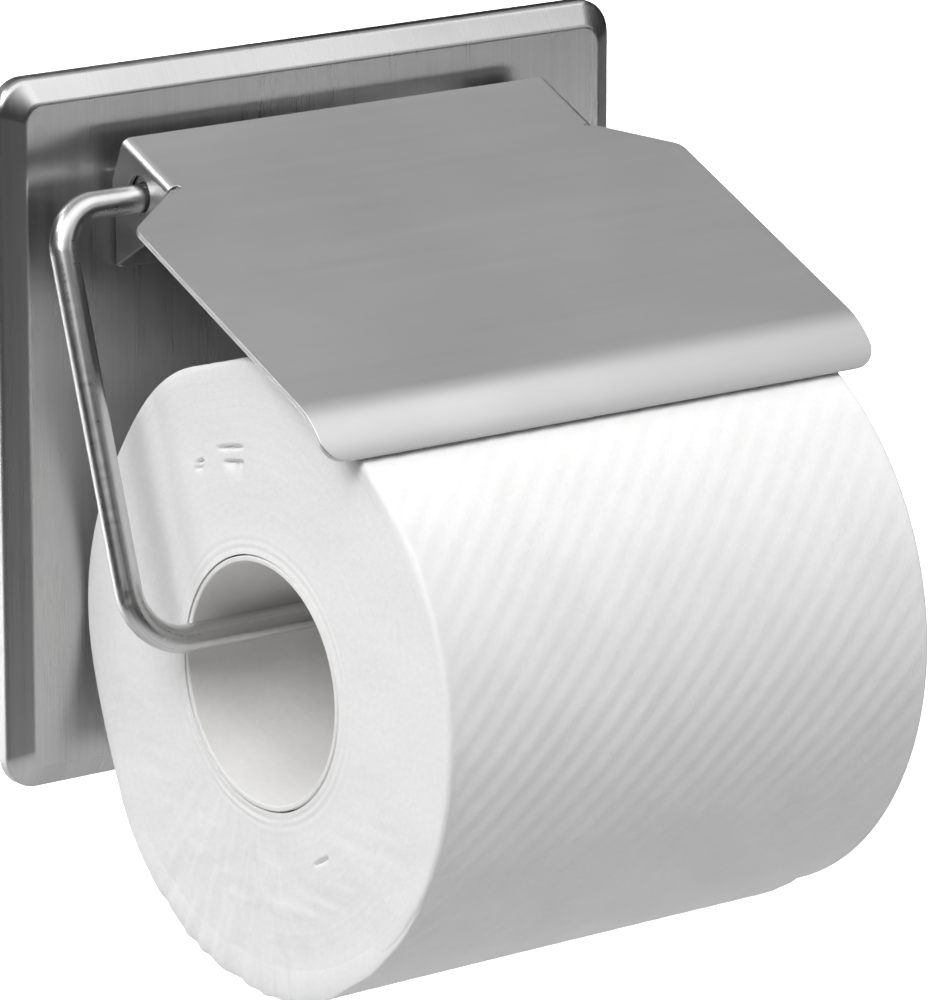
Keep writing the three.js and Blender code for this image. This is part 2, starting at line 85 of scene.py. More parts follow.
class Graph:
    """One procedural material on a Principled shader, with short names for the nodes that repeat."""

    def __init__(self, name):
        self.material = bpy.data.materials.new(name)
        self.material.use_nodes = True
        self.tree = self.material.node_tree
        self.tree.nodes.clear()
        output = self.add("ShaderNodeOutputMaterial")
        self.shader = self.add("ShaderNodeBsdfPrincipled")
        self.link(self.shader.outputs["BSDF"], output.inputs["Surface"])

    def add(self, kind, **settings):
        node = self.tree.nodes.new(kind)
        for key, value in settings.items():
            setattr(node, key, value)
        return node

    def link(self, source, target):
        self.tree.links.new(source, target)

    def set(self, **values):
        for name, value in values.items():
            self.shader.inputs[name.replace("_", " ")].default_value = value

    def drive(self, name, source):
        self.link(source, self.shader.inputs[name])

    def coordinates(self, scale, kind="Object"):
        source = self.add("ShaderNodeTexCoord")
        mapping = self.add("ShaderNodeMapping")
        mapping.inputs["Scale"].default_value = scale
        self.link(source.outputs[kind], mapping.inputs["Vector"])
        return mapping.outputs["Vector"]

    def noise(self, vector, detail=3.0, roughness=0.5):
        node = self.add("ShaderNodeTexNoise")
        node.inputs["Scale"].default_value = 1.0
        node.inputs["Detail"].default_value = detail
        node.inputs["Roughness"].default_value = roughness
        self.link(vector, node.inputs["Vector"])
        return node.outputs["Fac"]

    def spread(self, value, low, high, start=0.3, stop=0.7):
        node = self.add("ShaderNodeMapRange")
        node.inputs["From Min"].default_value = start
        node.inputs["From Max"].default_value = stop
        node.inputs["To Min"].default_value = low
        node.inputs["To Max"].default_value = high
        self.link(value, node.inputs["Value"])
        return node.outputs["Result"]

    def ramp(self, value, start, start_colour, stop, stop_colour):
        node = self.add("ShaderNodeValToRGB")
        first, last = node.color_ramp.elements
        first.position, first.color = start, (*start_colour, 1.0)
        last.position, last.color = stop, (*stop_colour, 1.0)
        self.link(value, node.inputs["Fac"])
        return node.outputs["Color"]

    def math(self, operation, first, second):
        node = self.add("ShaderNodeMath", operation=operation)
        for socket, value in zip(node.inputs, (first, second)):
            if isinstance(value, (int, float)):
                socket.default_value = value
            else:
                self.link(value, socket)
        return node.outputs["Value"]

    def blend(self, first, second, share):
        """Mixes two values: share of the first, the rest of the second."""
        rest = self.math("MULTIPLY", second, 1 - share)
        return self.math("ADD", self.math("MULTIPLY", first, share), rest)

    def bump(self, height, distance, under=None):
        node = self.add("ShaderNodeBump")
        node.inputs["Distance"].default_value = distance
        self.link(height, node.inputs["Height"])
        if under is not None:
            self.link(under, node.inputs["Normal"])
        return node.outputs["Normal"]


def brushed_steel(name, grain, tones, roughness, depth, swell=0.0, stretch=0.0):
    """Stainless steel with straight grain.

    grain is how fast the pattern changes along X, Y and Z, and the broad streaks change at a share of that.
    depth is the height of the grain and swell that of slow waves in the sheet. stretch draws out the gloss.
    """
    g = Graph(name)
    fine = g.noise(g.coordinates(grain), 4.0, 0.62)
    broad = g.noise(g.coordinates(tuple(axis * BROAD_SHARE for axis in grain)), 2.0, 0.5)
    worn = g.noise(g.coordinates((24, 24, 24)), 3.0, 0.55)
    streak = g.blend(fine, broad, 0.55)
    g.drive("Base Color", g.ramp(streak, 0.3, grey(tones[0]), 0.7, grey(tones[1])))
    g.drive("Roughness", g.math("ADD", g.spread(streak, *roughness), g.spread(worn, -0.03, 0.04)))
    normal = g.bump(streak, depth)
    if swell:
        wave = g.noise(g.coordinates((16, 16, 7)), 1.0, 0.4)
        normal = g.bump(wave, swell, normal)
    g.drive("Normal", normal)
    g.set(Metallic=1.0, Anisotropic=stretch)
    return g.material


def wire_steel():
    """Drawn and polished wire: faint lines along its length and a few rub marks round it."""
    g = Graph("steel_wire_polished")
    drawn = g.noise(g.coordinates((24, 22, 1), "UV"), 3.0, 0.6)
    rubs = g.noise(g.coordinates((2, 900, 1), "UV"), 2.0, 0.6)
    g.drive("Base Color", g.ramp(drawn, 0.3, grey(0.52), 0.7, grey(0.66)))
    g.drive("Roughness", g.math("ADD", g.spread(drawn, 0.26, 0.36), g.spread(rubs, -0.02, 0.05)))
    g.drive("Normal", g.bump(drawn, 0.004 * MM))
    g.set(Metallic=1.0)
    return g.material


def tissue():
    """Soft tissue: fibre specks, cloudy thickness and a faint velvet edge."""
    g = Graph("tissue_white")
    fibre = g.noise(g.coordinates((1100, 1100, 1100)), 4.0, 0.7)
    cloud = g.noise(g.coordinates((80, 80, 80)), 3.0, 0.55)
    mixed = g.blend(fibre, cloud, 0.45)
    g.drive("Base Color", g.ramp(mixed, 0.3, (0.86, 0.86, 0.855), 0.68, (0.93, 0.93, 0.93)))
    g.drive("Roughness", g.spread(fibre, 0.88, 1.0))
    g.drive("Normal", g.bump(fibre, 0.09 * MM))
    g.set(Specular_IOR_Level=0.15, Sheen_Weight=0.15, Sheen_Roughness=0.6)
    return g.material


def wound_edge():
    """The cut end of the roll: the same tissue seen as fine rings."""
    g = Graph("tissue_cut_end")
    source = g.add("ShaderNodeTexCoord")
    split = g.add("ShaderNodeSeparateXYZ")
    g.link(source.outputs["UV"], split.inputs["Vector"])
    joined = g.add("ShaderNodeCombineXYZ")
    g.link(g.math("MULTIPLY", split.outputs["X"], 1800.0), joined.inputs["X"])
    g.link(g.math("MULTIPLY", split.outputs["Y"], 3.0), joined.inputs["Y"])
    rings = g.noise(joined.outputs["Vector"], 2.0, 0.55)
    fibre = g.noise(g.coordinates((900, 900, 900)), 4.0, 0.7)
    mixed = g.blend(rings, fibre, 0.3)
    g.drive("Base Color", g.ramp(mixed, 0.3, (0.88, 0.88, 0.875), 0.68, (0.95, 0.95, 0.95)))
    g.drive("Roughness", g.spread(fibre, 0.9, 1.0))
    g.drive("Normal", g.bump(mixed, 0.08 * MM))
    g.set(Specular_IOR_Level=0.12)
    return g.material


def board(name, dark, light):
    """Pulp board: mottled fibres at two scales."""
    g = Graph(name)
    pulp = g.noise(g.coordinates((600, 600, 600)), 5.0, 0.7)
    cloud = g.noise(g.coordinates((70, 70, 70)), 2.0, 0.5)
    mixed = g.blend(pulp, cloud, 0.5)
    g.drive("Base Color", g.ramp(mixed, 0.32, dark, 0.66, light))
    g.drive("Roughness", g.spread(pulp, 0.78, 0.95))
    g.drive("Normal", g.bump(pulp, 0.08 * MM))
    g.set(Specular_IOR_Level=0.25)
    return g.material


# ---------------------------------------------------------------- mesh helpers

EDGE_STEPS = 3
FOLD_STEPS = 8
HOLE_STEPS = 32
SHARPEST_MITER = 0.3


def arc(cx, cy, radius, start, end, steps):
    points = []
    for i in range(steps + 1):
        angle = start + (end - start) * i / steps
        points.append((cx + radius * math.cos(angle), cy + radius * math.sin(angle)))
    return points


def circle(cx, cy, radius, steps):
    return arc(cx, cy, radius, 0, FULL, steps)[:-1]


def mirrored(half):
    """A closed outline, symmetrical about the first coordinate's zero, from its right half."""
    return half + [(-x, y) for x, y in reversed(half)]


def new_piece(name, mesh, materials, body, slot, *nodes):
    piece = bpy.data.objects.new(name, mesh)
    bpy.context.scene.collection.objects.link(piece)
    for material in materials:
        mesh.materials.append(material)
    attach(piece, body)
    if nodes:
        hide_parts(*nodes)
    return piece


def finish_mesh(built, name):
    bmesh.ops.recalc_face_normals(built, faces=built.faces)
    mesh = bpy.data.meshes.new(name)
    built.to_mesh(mesh)
    built.free()
    return mesh


def shade(mesh, degrees):
    """Smooth faces, with edges sharper than the given angle left crisp."""
    limit = math.radians(degrees)
    built = bmesh.new()
    built.from_mesh(mesh)
    for face in built.faces:
        face.smooth = True
    for edge in built.edges:
        edge.smooth = edge.calc_face_angle(0.0) < limit
    built.to_mesh(mesh)
    built.free()


def weigh_normals(piece):
    """Large flat faces keep flat shading where they meet a rounded edge."""
    weighted = piece.modifiers.new("normals", "WEIGHTED_NORMAL")
    weighted.mode = "FACE_AREA_WITH_ANGLE"
    weighted.weight = 80
    weighted.keep_sharp = True
    depsgraph = bpy.context.evaluated_depsgraph_get()
    frozen = bpy.data.meshes.new_from_object(piece.evaluated_get(depsgraph))
    piece.modifiers.clear()
    piece.data = frozen


def signed_area(loop):
    return sum(ax * by - bx * ay for (ax, ay), (bx, by) in zip(loop, loop[1:] + loop[:1])) / 2


def outward(loop, distance):
    """Moves a loop's corners outward, on its right-hand side when it runs anticlockwise."""
    moved = []
    count = len(loop)
    for i in range(count):
        before = Vector(loop[i]) - Vector(loop[i - 1])
        after = Vector(loop[(i + 1) % count]) - Vector(loop[i])
        first = Vector((before.y, -before.x)).normalized()
        second = Vector((after.y, -after.x)).normalized()
        miter = (first + second) / max(SHARPEST_MITER, 1 + first.dot(second))
        moved.append((loop[i][0] + miter.x * distance, loop[i][1] + miter.y * distance))
    return moved


def inside(x, y, loop):
    hit = False
    for (ax, ay), (bx, by) in zip(loop, loop[1:] + loop[:1]):
        if (ay > y) != (by > y) and x < (bx - ax) * (y - ay) / (by - ay) + ax:
            hit = not hit
    return hit


def blank(outline, holes, rules):
    """Triangles of a flat blank. Rules are straight lines that the triangles may not cross."""
    points = []
    edges = []
    for loop in [outline, *holes]:
        first = len(points)
        points.extend(loop)
        edges.extend((first + i, first + (i + 1) % len(loop)) for i in range(len(loop)))
    for start, end in rules:
        edges.append((len(points), len(points) + 1))
        points.extend((start, end))
    corners, _, faces, _, _, _ = geometry.delaunay_2d_cdt([Vector(p) for p in points], edges, [], 0, 1e-8)
    kept = []
    for face in faces:
        x = sum(corners[i].x for i in face) / len(face)
        y = sum(corners[i].y for i in face) / len(face)
        if inside(x, y, outline) and not any(inside(x, y, hole) for hole in holes):
            kept.append(face)
    return [tuple(corner) for corner in corners], kept


def fold_rules(start, width, low, high):
    """Rules along the fold on each side of a blank, so that it bends smoothly."""
    rules = []
    for side in (-1, 1):
        for i in range(FOLD_STEPS + 1):
            x = side * (start + width * i / FOLD_STEPS)
            rules.append(((x, low), (x, high)))
    return rules


def rim_loops(faces):
    """Closed loops of corner numbers round the faces, with the faces on their left."""
    ahead = {}
    for face in faces:
        for i, corner in enumerate(face):
            ahead[corner, face[(i + 1) % len(face)]] = True
    following = {a: b for a, b in ahead if (b, a) not in ahead}
    loops = []
    while following:
        start, at = following.popitem()
        loop = [start]
        while at != start:
            loop.append(at)
            at = following.pop(at)
        loops.append(loop)
    return loops


def bent_sheet(name, outline, holes, rules, bend, thickness, edge):
    """A closed sheet with rounded cut edges. bend(p, q, depth) puts a point of the blank in place."""
    if signed_area(outline) < 0:
        outline = outline[::-1]
    shrunk = outward(outline, -edge)
    opened = [outward(hole if signed_area(hole) > 0 else hole[::-1], edge) for hole in holes]
    corners, faces = blank(shrunk, opened, rules)
    built = bmesh.new()
    used = sorted({corner for face in faces for corner in face})
    top = {i: built.verts.new(bend(*corners[i], 0.0)) for i in used}
    under = {i: built.verts.new(bend(*corners[i], thickness)) for i in used}
    for face in faces:
        built.faces.new([top[i] for i in face])
        built.faces.new([under[i] for i in reversed(face)])
    turns = [QUARTER * k / EDGE_STEPS for k in range(1, EDGE_STEPS + 1)]
    eased = [(edge * math.sin(turn), edge * (1 - math.cos(turn))) for turn in turns]
    eased += [(push, thickness - depth) for push, depth in reversed(eased)]
    for loop in rim_loops(faces):
        flat = [corners[i] for i in loop]
        rings = [[top[i] for i in loop]]
        for push, depth in eased:
            rings.append([built.verts.new(bend(p, q, depth)) for p, q in outward(flat, push)])
        rings.append([under[i] for i in loop])
        for upper, lower in zip(rings, rings[1:]):
            for i in range(len(loop)):
                j = (i + 1) % len(loop)
                built.faces.new((upper[j], upper[i], lower[i], lower[j]))
    return finish_mesh(built, name)


def join_rings(built, first, second):
    """A closed band of faces between two rings of the same length."""
    for i in range(len(first)):
        j = (i + 1) % len(first)
        built.faces.new((first[i], first[j], second[j], second[i]))


def lathe(name, profile, segments, place):
    """A closed solid of revolution. profile is (radius, along); zero radii close it at its ends."""
    built = bmesh.new()
    rings = []
    for radius, along in profile:
        if radius < 1e-9:
            rings.append([built.verts.new(place(0.0, 0.0, along))])
            continue
        ring = []
        for i in range(segments):
            angle = FULL * i / segments
            ring.append(built.verts.new(place(radius * math.cos(angle), radius * math.sin(angle), along)))
        rings.append(ring)
    closed = len(rings[0]) > 1
    pairs = list(zip(rings, rings[1:])) + ([(rings[-1], rings[0])] if closed else [])
    for first, second in pairs:
        for i in range(segments):
            j = (i + 1) % segments
            near_side = [first[i % len(first)], first[j % len(first)]]
            far_side = [second[j % len(second)], second[i % len(second)]]
            built.faces.new(list(dict.fromkeys(near_side + far_side)))
    return finish_mesh(built, name)


# ---------------------------------------------------------------- camera, light and floor

CAMERA_AZIMUTH = math.radians(37.37)
CAMERA_ELEVATION = math.radians(14.3)
CAMERA_DISTANCE = 1.319
CAMERA_LENS = 265
CAMERA_SENSOR = 36
AIM_OUT = 0.04
AIM_RIGHT = 0.0053
AIM_DOWN = 0.0132
FAR_CLIP = 50
OBJECT_CENTRE = (0, -0.05, -0.02)
WORLD_STRENGTH = 0.03
FLOOR_PLACE = (1.0, 1.5, -0.75)
FLOOR_HALF = 7
# Name, place, target, width and height, power, and spread in degrees.
LIGHTS = (
    ("overhead_front", (0.1, -0.85, 1.25), (0.1, -0.85, 0), (2.2, 1.6), 18.5, 180),
    ("overhead_rear", (0.4, 0.62, 1.25), (0.4, 0.62, 0), (2.4, 1.2), 3.9, 180),
    ("front_right", (1.1, -1.37, 0.75), OBJECT_CENTRE, (1.1, 1.2), 3.3, 180),
    ("key", (-1.25, -0.5, 1.1), OBJECT_CENTRE, (0.8, 0.8), 17, 180),
    ("fold_strip", (-0.95, 0.5, 1.2), OBJECT_CENTRE, (0.5, 0.3), 6, 180),
    ("floor_front", (1.7, -2.3, 0.3), (1.7, -2.3, -1), (1.6, 1.6), 20, 90),
    ("floor_wash", (0.6, 2.6, 1.0), (0.6, 2.6, -1), (6.0, 2.8), 140, 60),
)


def aim(thing, target):
    direction = Vector(target) - thing.location
    thing.rotation_euler = direction.to_track_quat("-Z", "Y").to_euler()


def make_camera():
    forward = Vector((
        math.sin(CAMERA_AZIMUTH) * math.cos(CAMERA_ELEVATION),
        math.cos(CAMERA_AZIMUTH) * math.cos(CAMERA_ELEVATION),
        -math.sin(CAMERA_ELEVATION),
    ))
    right = Vector((math.cos(CAMERA_AZIMUTH), -math.sin(CAMERA_AZIMUTH), 0))
    target = Vector((0, -AIM_OUT, 0)) + right * AIM_RIGHT - right.cross(forward) * AIM_DOWN
    data = bpy.data.cameras.new("camera")
    data.sensor_fit = "VERTICAL"
    data.sensor_height = CAMERA_SENSOR
    data.lens = CAMERA_LENS
    data.clip_end = FAR_CLIP
    camera = bpy.data.objects.new("camera", data)
    bpy.context.scene.collection.objects.link(camera)
    camera.location = target - forward * CAMERA_DISTANCE
    aim(camera, target)
    bpy.context.scene.camera = camera


def softbox(name, location, target, size, power, spread):
    data = bpy.data.lights.new(name, "AREA")
    data.spread = math.radians(spread)
    data.shape = "RECTANGLE"
    data.size, data.size_y = size
    data.energy = power
    light = bpy.data.objects.new(name, data)
    bpy.context.scene.collection.objects.link(light)
    light.location = location
    aim(light, target)


def make_floor():
    g = Graph("floor_pale")
    cloud = g.noise(g.coordinates((3, 3, 3)), 2.0, 0.5)
    g.drive("Base Color", g.ramp(cloud, 0.3, grey(0.84), 0.7, grey(0.88)))
    g.set(Roughness=0.9)
    built = bmesh.new()
    bmesh.ops.create_grid(built, x_segments=8, y_segments=8, size=FLOOR_HALF)
    floor = bpy.data.objects.new("floor", finish_mesh(built, "floor"))
    floor.data.materials.append(g.material)
    bpy.context.scene.collection.objects.link(floor)
    floor.location = FLOOR_PLACE


def make_studio():
    world = bpy.data.worlds.new("studio")
    bpy.context.scene.world = world
    world.use_nodes = True
    background = world.node_tree.nodes["Background"]
    background.inputs["Color"].default_value = (1, 1, 1, 1)
    background.inputs["Strength"].default_value = WORLD_STRENGTH
    for light in LIGHTS:
        softbox(*light)
    make_floor()


# ---------------------------------------------------------------- back plate

PLATE_LOW, PLATE_HIGH = node_box("back_plate")
PLATE_DEPTH = -PLATE_LOW.y
PLATE_CORNER = 6.5 * MM
CORNER_SHRINK = 0.7
SHARPEST_CORNER = 1.0 * MM
CORNER_STEPS = 14
BEVEL_WIDTH = 4.3 * MM
BEVEL_ANGLE = math.radians(31)
BEVEL_FILLET = 1.6 * MM
BEVEL_STEPS = 8
SHANK_HOLE = 2.3 * MM
KEY_DIGITS = 7


def screw_place(name):
    """Across and up of a screw's axis, and how far out its head reaches."""
    low, high = node_box(name)
    return (low.x + high.x) / 2, (low.z + high.z) / 2, -low.y


SCREWS = {
    name: screw_place(name)
    for name in (f"wall_screw_{row}_{side}" for row in ("upper", "lower") for side in ("left", "right"))
}


def rounded_loop(half_width, half_height, radius):
    loop = []
    x = half_width - radius
    z = half_height - radius
    for i, (cx, cz) in enumerate(((x, z), (-x, z), (-x, -z), (x, -z))):
        loop.extend(arc(cx, cz, radius, i * QUARTER, (i + 1) * QUARTER, CORNER_STEPS))
    return loop


def rim_profile(depth):
    """Inset and distance out along the pressed rim, at a depth under the outer skin."""
    run = BEVEL_FILLET * math.tan((QUARTER - BEVEL_ANGLE) / 2)
    rise = PLATE_DEPTH - BEVEL_WIDTH * math.tan(BEVEL_ANGLE)
    shift = BEVEL_FILLET * math.tan(BEVEL_ANGLE / 2)
    radius = BEVEL_FILLET - depth
    crest = QUARTER + BEVEL_ANGLE
    lower = arc(BEVEL_FILLET, rise - run, radius, math.pi, crest, BEVEL_STEPS)
    upper = arc(BEVEL_WIDTH + shift, PLATE_DEPTH - BEVEL_FILLET, radius, crest, QUARTER, BEVEL_STEPS)
    return [(depth, 0.0), *lower, *upper]


def plate_rings(built, depth):
    rings = []
    for inset, out in rim_profile(depth):
        corner = max(PLATE_CORNER - inset * CORNER_SHRINK, SHARPEST_CORNER)
        loop = rounded_loop(PLATE_HIGH.x - inset, PLATE_HIGH.z - inset, corner)
        rings.append([built.verts.new((x, -out, z)) for x, z in loop])
    for outer, inner in zip(rings, rings[1:]):
        join_rings(built, outer, inner)
    return rings


def plate_face(built, rim, depth, holes):
    """Flat faces inside the last ring of a skin. Gives back the rim of each hole."""
    outline = [(vert.co.x, vert.co.z) for vert in rim]
    corners, faces = blank(outline, holes, [])
    known = {(round(vert.co.x, KEY_DIGITS), round(vert.co.z, KEY_DIGITS)): vert for vert in rim}
    verts = []
    for x, z in corners:
        key = (round(x, KEY_DIGITS), round(z, KEY_DIGITS))
        verts.append(known.get(key) or built.verts.new((x, depth - PLATE_DEPTH, z)))
    for face in faces:
        built.faces.new([verts[i] for i in face])
    starts = range(len(outline), len(outline) + HOLE_STEPS * len(holes), HOLE_STEPS)
    return [verts[start:start + HOLE_STEPS] for start in starts]


def make_back_plate(material):
    built = bmesh.new()
    holes = [circle(x, z, SHANK_HOLE, HOLE_STEPS) for x, z, _ in SCREWS.values()]
    depths = (0.0, SHEET)
    skins = [plate_rings(built, depth) for depth in depths]
    rims = [plate_face(built, rings[-1], depth, holes) for rings, depth in zip(skins, depths)]
    for first, second in [*zip(*rims), (skins[0][0], skins[1][0])]:
        join_rings(built, first, second)
    mesh = finish_mesh(built, "plate_pressed")
    shade(mesh, 40)
    piece = new_piece("plate_pressed", mesh, [material], "wall_side", "plate_steel", "back_plate")
    weigh_normals(piece)


# ---------------------------------------------------------------- hinge bracket

BRACKET_HIGH = node_box("hinge_bracket")[1]
BRACKET_HALF = BRACKET_HIGH.x
BRACKET_BACK = -BRACKET_HIGH.y
BRACKET_BEND = 1.5 * MM
BRACKET_EASE = 0.15 * MM
WEB_HALF = BRACKET_HALF - BRACKET_BEND
BRACKET_FOLD = BRACKET_BEND * QUARTER
EYE_FRONT_RADIUS = 7.2 * MM
EYE_TOP_RADIUS = 5.6 * MM
EYE_HOLE = 2.8 * MM
SWEEP_RADIUS = 10.1 * MM
LOWER_EDGE = math.radians(31)
COVER_TILT = math.radians(24.9)
COVER_LIFT = math.radians(40)


def bend_bracket(p, q, depth):
    width = abs(p)
    turned = min(max(width - WEB_HALF, 0.0), BRACKET_FOLD) / BRACKET_BEND
    radius = BRACKET_BEND - depth
    x = min(width, WEB_HALF) + radius * math.sin(turned)
    out = BRACKET_BACK + BRACKET_BEND - radius * math.cos(turned) + max(0.0, width - WEB_HALF - BRACKET_FOLD)
    return math.copysign(x, p), -out, q


def flange_width(out):
    return WEB_HALF + BRACKET_FOLD + out - BRACKET_BACK - BRACKET_BEND


def bracket_blank():
    """The strip unfolded. Its flanges are cut down where the cover's neck sweeps past as it lifts."""
    normal = QUARTER - COVER_TILT
    neck_normal = normal + COVER_LIFT
    front = normal - math.acos(EYE_TOP_RADIUS / EYE_FRONT_RADIUS)
    neck = neck_normal + math.acos(EYE_TOP_RADIUS / SWEEP_RADIUS)
    side_view = arc(HINGE_OUT, HINGE_Z, EYE_FRONT_RADIUS, LOWER_EDGE - QUARTER, front, 18)
    side_view += arc(HINGE_OUT, HINGE_Z, EYE_TOP_RADIUS, normal, neck_normal, 14)
    side_view.append((BRACKET_BACK + BRACKET_BEND, HINGE_Z + SWEEP_RADIUS * math.sin(neck)))
    tangent_out, tangent_z = side_view[0]
    root_z = tangent_z - (tangent_out - BRACKET_BACK) * math.tan(LOWER_EDGE)
    bend_z = root_z + BRACKET_BEND * math.tan(LOWER_EDGE)
    half = [(WEB_HALF, root_z), (WEB_HALF + BRACKET_FOLD, bend_z)]
    return mirrored(half + [(flange_width(out), z) for out, z in side_view])


def make_bracket(material):
    below, above = 20 * MM, 60 * MM
    rules = fold_rules(WEB_HALF, BRACKET_FOLD, below, above)
    holes = [circle(side * flange_width(HINGE_OUT), HINGE_Z, EYE_HOLE, 40) for side in (-1, 1)]
    holes += [circle(x, z, SHANK_HOLE, HOLE_STEPS) for x, z, _ in SCREWS.values() if z > 0]
    mesh = bent_sheet("bracket_folded", bracket_blank(), holes, rules, bend_bracket, SHEET, BRACKET_EASE)
    shade(mesh, 40)
    piece = new_piece("bracket_folded", mesh, [material], "wall_side", "bracket_steel", "hinge_bracket")
    weigh_normals(piece)


# ---------------------------------------------------------------- screws and end cap

SCREW_HEAD_RADIUS = 3.5 * MM
SCREW_HEAD_HEIGHT = 1.8 * MM
SCREW_RIM_SHARE = 0.45
SCREW_SHANK_RADIUS = 2.0 * MM
RECESS_LENGTH = 2.0 * MM
RECESS_WIDTH = 0.45 * MM
RECESS_FLOOR = 0.6 * MM
RECESS_TAPER = 0.7
CAP_EASE = 0.35 * MM


def cross_prism(a, b, top, bottom, place):
    """A tapered cross-shaped cutter, from its top down to its bottom. Its arms reach a and are 2b wide."""
    quarter = [(a, -b), (a, b), (b, b)]
    plan = []
    for _ in range(4):
        plan += quarter
        quarter = [(-z, x) for x, z in quarter]
    built = bmesh.new()
    high = [built.verts.new(place(x, z, top)) for x, z in plan]
    low = [built.verts.new(place(x * RECESS_TAPER, z * RECESS_TAPER, bottom)) for x, z in plan]
    join_rings(built, high, low)
    built.faces.new(high)
    built.faces.new(low[::-1])
    return finish_mesh(built, "cross")


def make_screw(name, material):
    x, z, out = SCREWS[name]
    seat = out - SCREW_HEAD_HEIGHT

    def place(across, up, along):
        return (x + across, -along, z + up)

    rise = SCREW_HEAD_HEIGHT * SCREW_RIM_SHARE
    crown = [
        (SCREW_HEAD_RADIUS * math.cos(t), seat + rise + (SCREW_HEAD_HEIGHT - rise) * math.sin(t))
        for t in (QUARTER * k / 10 for k in range(10))
    ]
    shank = [(0.0, 0.0), (SCREW_SHANK_RADIUS, 0.0), (SCREW_SHANK_RADIUS, seat), (SCREW_HEAD_RADIUS, seat)]
    mesh = lathe(name + "_pan", [*shank, *crown, (0.0, out)], 40, place)
    piece = new_piece(name + "_pan", mesh, [material], "wall_side", "screw_steel", name)
    cutter_mesh = cross_prism(RECESS_LENGTH, RECESS_WIDTH, out + MM, seat + RECESS_FLOOR, place)
    cutter = bpy.data.objects.new("cutter", cutter_mesh)
    bpy.context.scene.collection.objects.link(cutter)
    cut = piece.modifiers.new("recess", "BOOLEAN")
    cut.operation = "DIFFERENCE"
    cut.solver = "EXACT"
    cut.object = cutter
    depsgraph = bpy.context.evaluated_depsgraph_get()
    piece.data = bpy.data.meshes.new_from_object(piece.evaluated_get(depsgraph))
    piece.modifiers.clear()
    bpy.data.objects.remove(cutter)
    shade(piece.data, 35)


def make_axle_cap(material):
    low, high = node_box("axle_cap")
    radius = (high.z - low.z) / 2
    bore = radius / 2
    rim = arc(high.x - CAP_EASE, radius - CAP_EASE, CAP_EASE, 0, QUARTER, 5)
    rim += arc(low.x + CAP_EASE, radius - CAP_EASE, CAP_EASE, QUARTER, math.pi, 5)
    profile = [(bore, low.x), (bore, high.x)] + [(reach, along) for along, reach in rim]
    mesh = lathe("axle_cap_pressed", profile, 48, lambda a, b, x: (x, -HINGE_OUT + a, HINGE_Z + b))
    shade(mesh, 35)
    new_piece("axle_cap_pressed", mesh, [material], "bail", "screw_steel", "axle_cap")


# ---------------------------------------------------------------- cover

COVER_FLAT = 77.6 * MM
COVER_REAR_OUT = 10.8 * MM
COVER_REAR_Z = 53.8 * MM
COVER_HALF = node_box("cover")[1].x
COVER_EASE = 0.18 * MM
NECK_HALF = 47.5 * MM
NECK_LENGTH = 15.4 * MM
SHOULDER_END = 25.4 * MM
SHOULDER_CORNER = 3.0 * MM
LIP_RADIUS = 17.0 * MM
LIP_ANGLE = math.radians(43.5)
LIP_LENGTH = LIP_RADIUS * LIP_ANGLE
LIP_CORNER = 4.5 * MM
LIP_STEPS = 26
EAR_BEND = 1.7 * MM
EAR_RADIUS = 6.3 * MM
EAR_HOLE = 3.45 * MM
EAR_HOLE_RISE = 0.62 * MM
EAR_REAR = ((8.2 * MM, 2.0 * MM), (8.3 * MM, -0.8 * MM))  # behind and above the hinge
EAR_LOWEST = math.radians(-150)
FLAT_HALF = NECK_HALF - EAR_BEND
FOLD_WIDTH = EAR_BEND * QUARTER
RELIEF = 0.9 * MM
RELIEF_X = FLAT_HALF - 0.1 * MM


def cover_side(s, lift):
    """Distance out and height of a point s along the cover's top face and lift above it."""
    slope = COVER_TILT + max(0.0, s - COVER_FLAT) / LIP_RADIUS
    flat = min(s, COVER_FLAT)
    out = COVER_REAR_OUT + flat * math.cos(COVER_TILT) + LIP_RADIUS * (math.sin(slope) - math.sin(COVER_TILT))
    z = COVER_REAR_Z - flat * math.sin(COVER_TILT) - LIP_RADIUS * (math.cos(COVER_TILT) - math.cos(slope))
    return out + lift * math.sin(slope), z + lift * math.cos(slope)


def on_ear(out, z):
    """Where a point of the side view lies on the blank: across and along."""
    dx = out - COVER_REAR_OUT
    dz = z - COVER_REAR_Z
    along = dx * math.cos(COVER_TILT) - dz * math.sin(COVER_TILT)
    lift = dx * math.sin(COVER_TILT) + dz * math.cos(COVER_TILT)
    return FLAT_HALF + FOLD_WIDTH - lift - EAR_BEND, along


def bend_cover(p, q, depth):
    """The ears fold down only along the neck, as far as the relief cuts."""
    width = abs(p)
    if width <= FLAT_HALF or q > NECK_LENGTH + 0.3 * RELIEF:
        out, z = cover_side(q, -depth)
        return p, -out, z
    turned = min(width - FLAT_HALF, FOLD_WIDTH) / EAR_BEND
    radius = EAR_BEND - depth
    x = FLAT_HALF + radius * math.sin(turned)
    lift = radius * math.cos(turned) - EAR_BEND - max(0.0, width - FLAT_HALF - FOLD_WIDTH)
    out, z = cover_side(q, lift)
    return math.copysign(x, p), -out, z


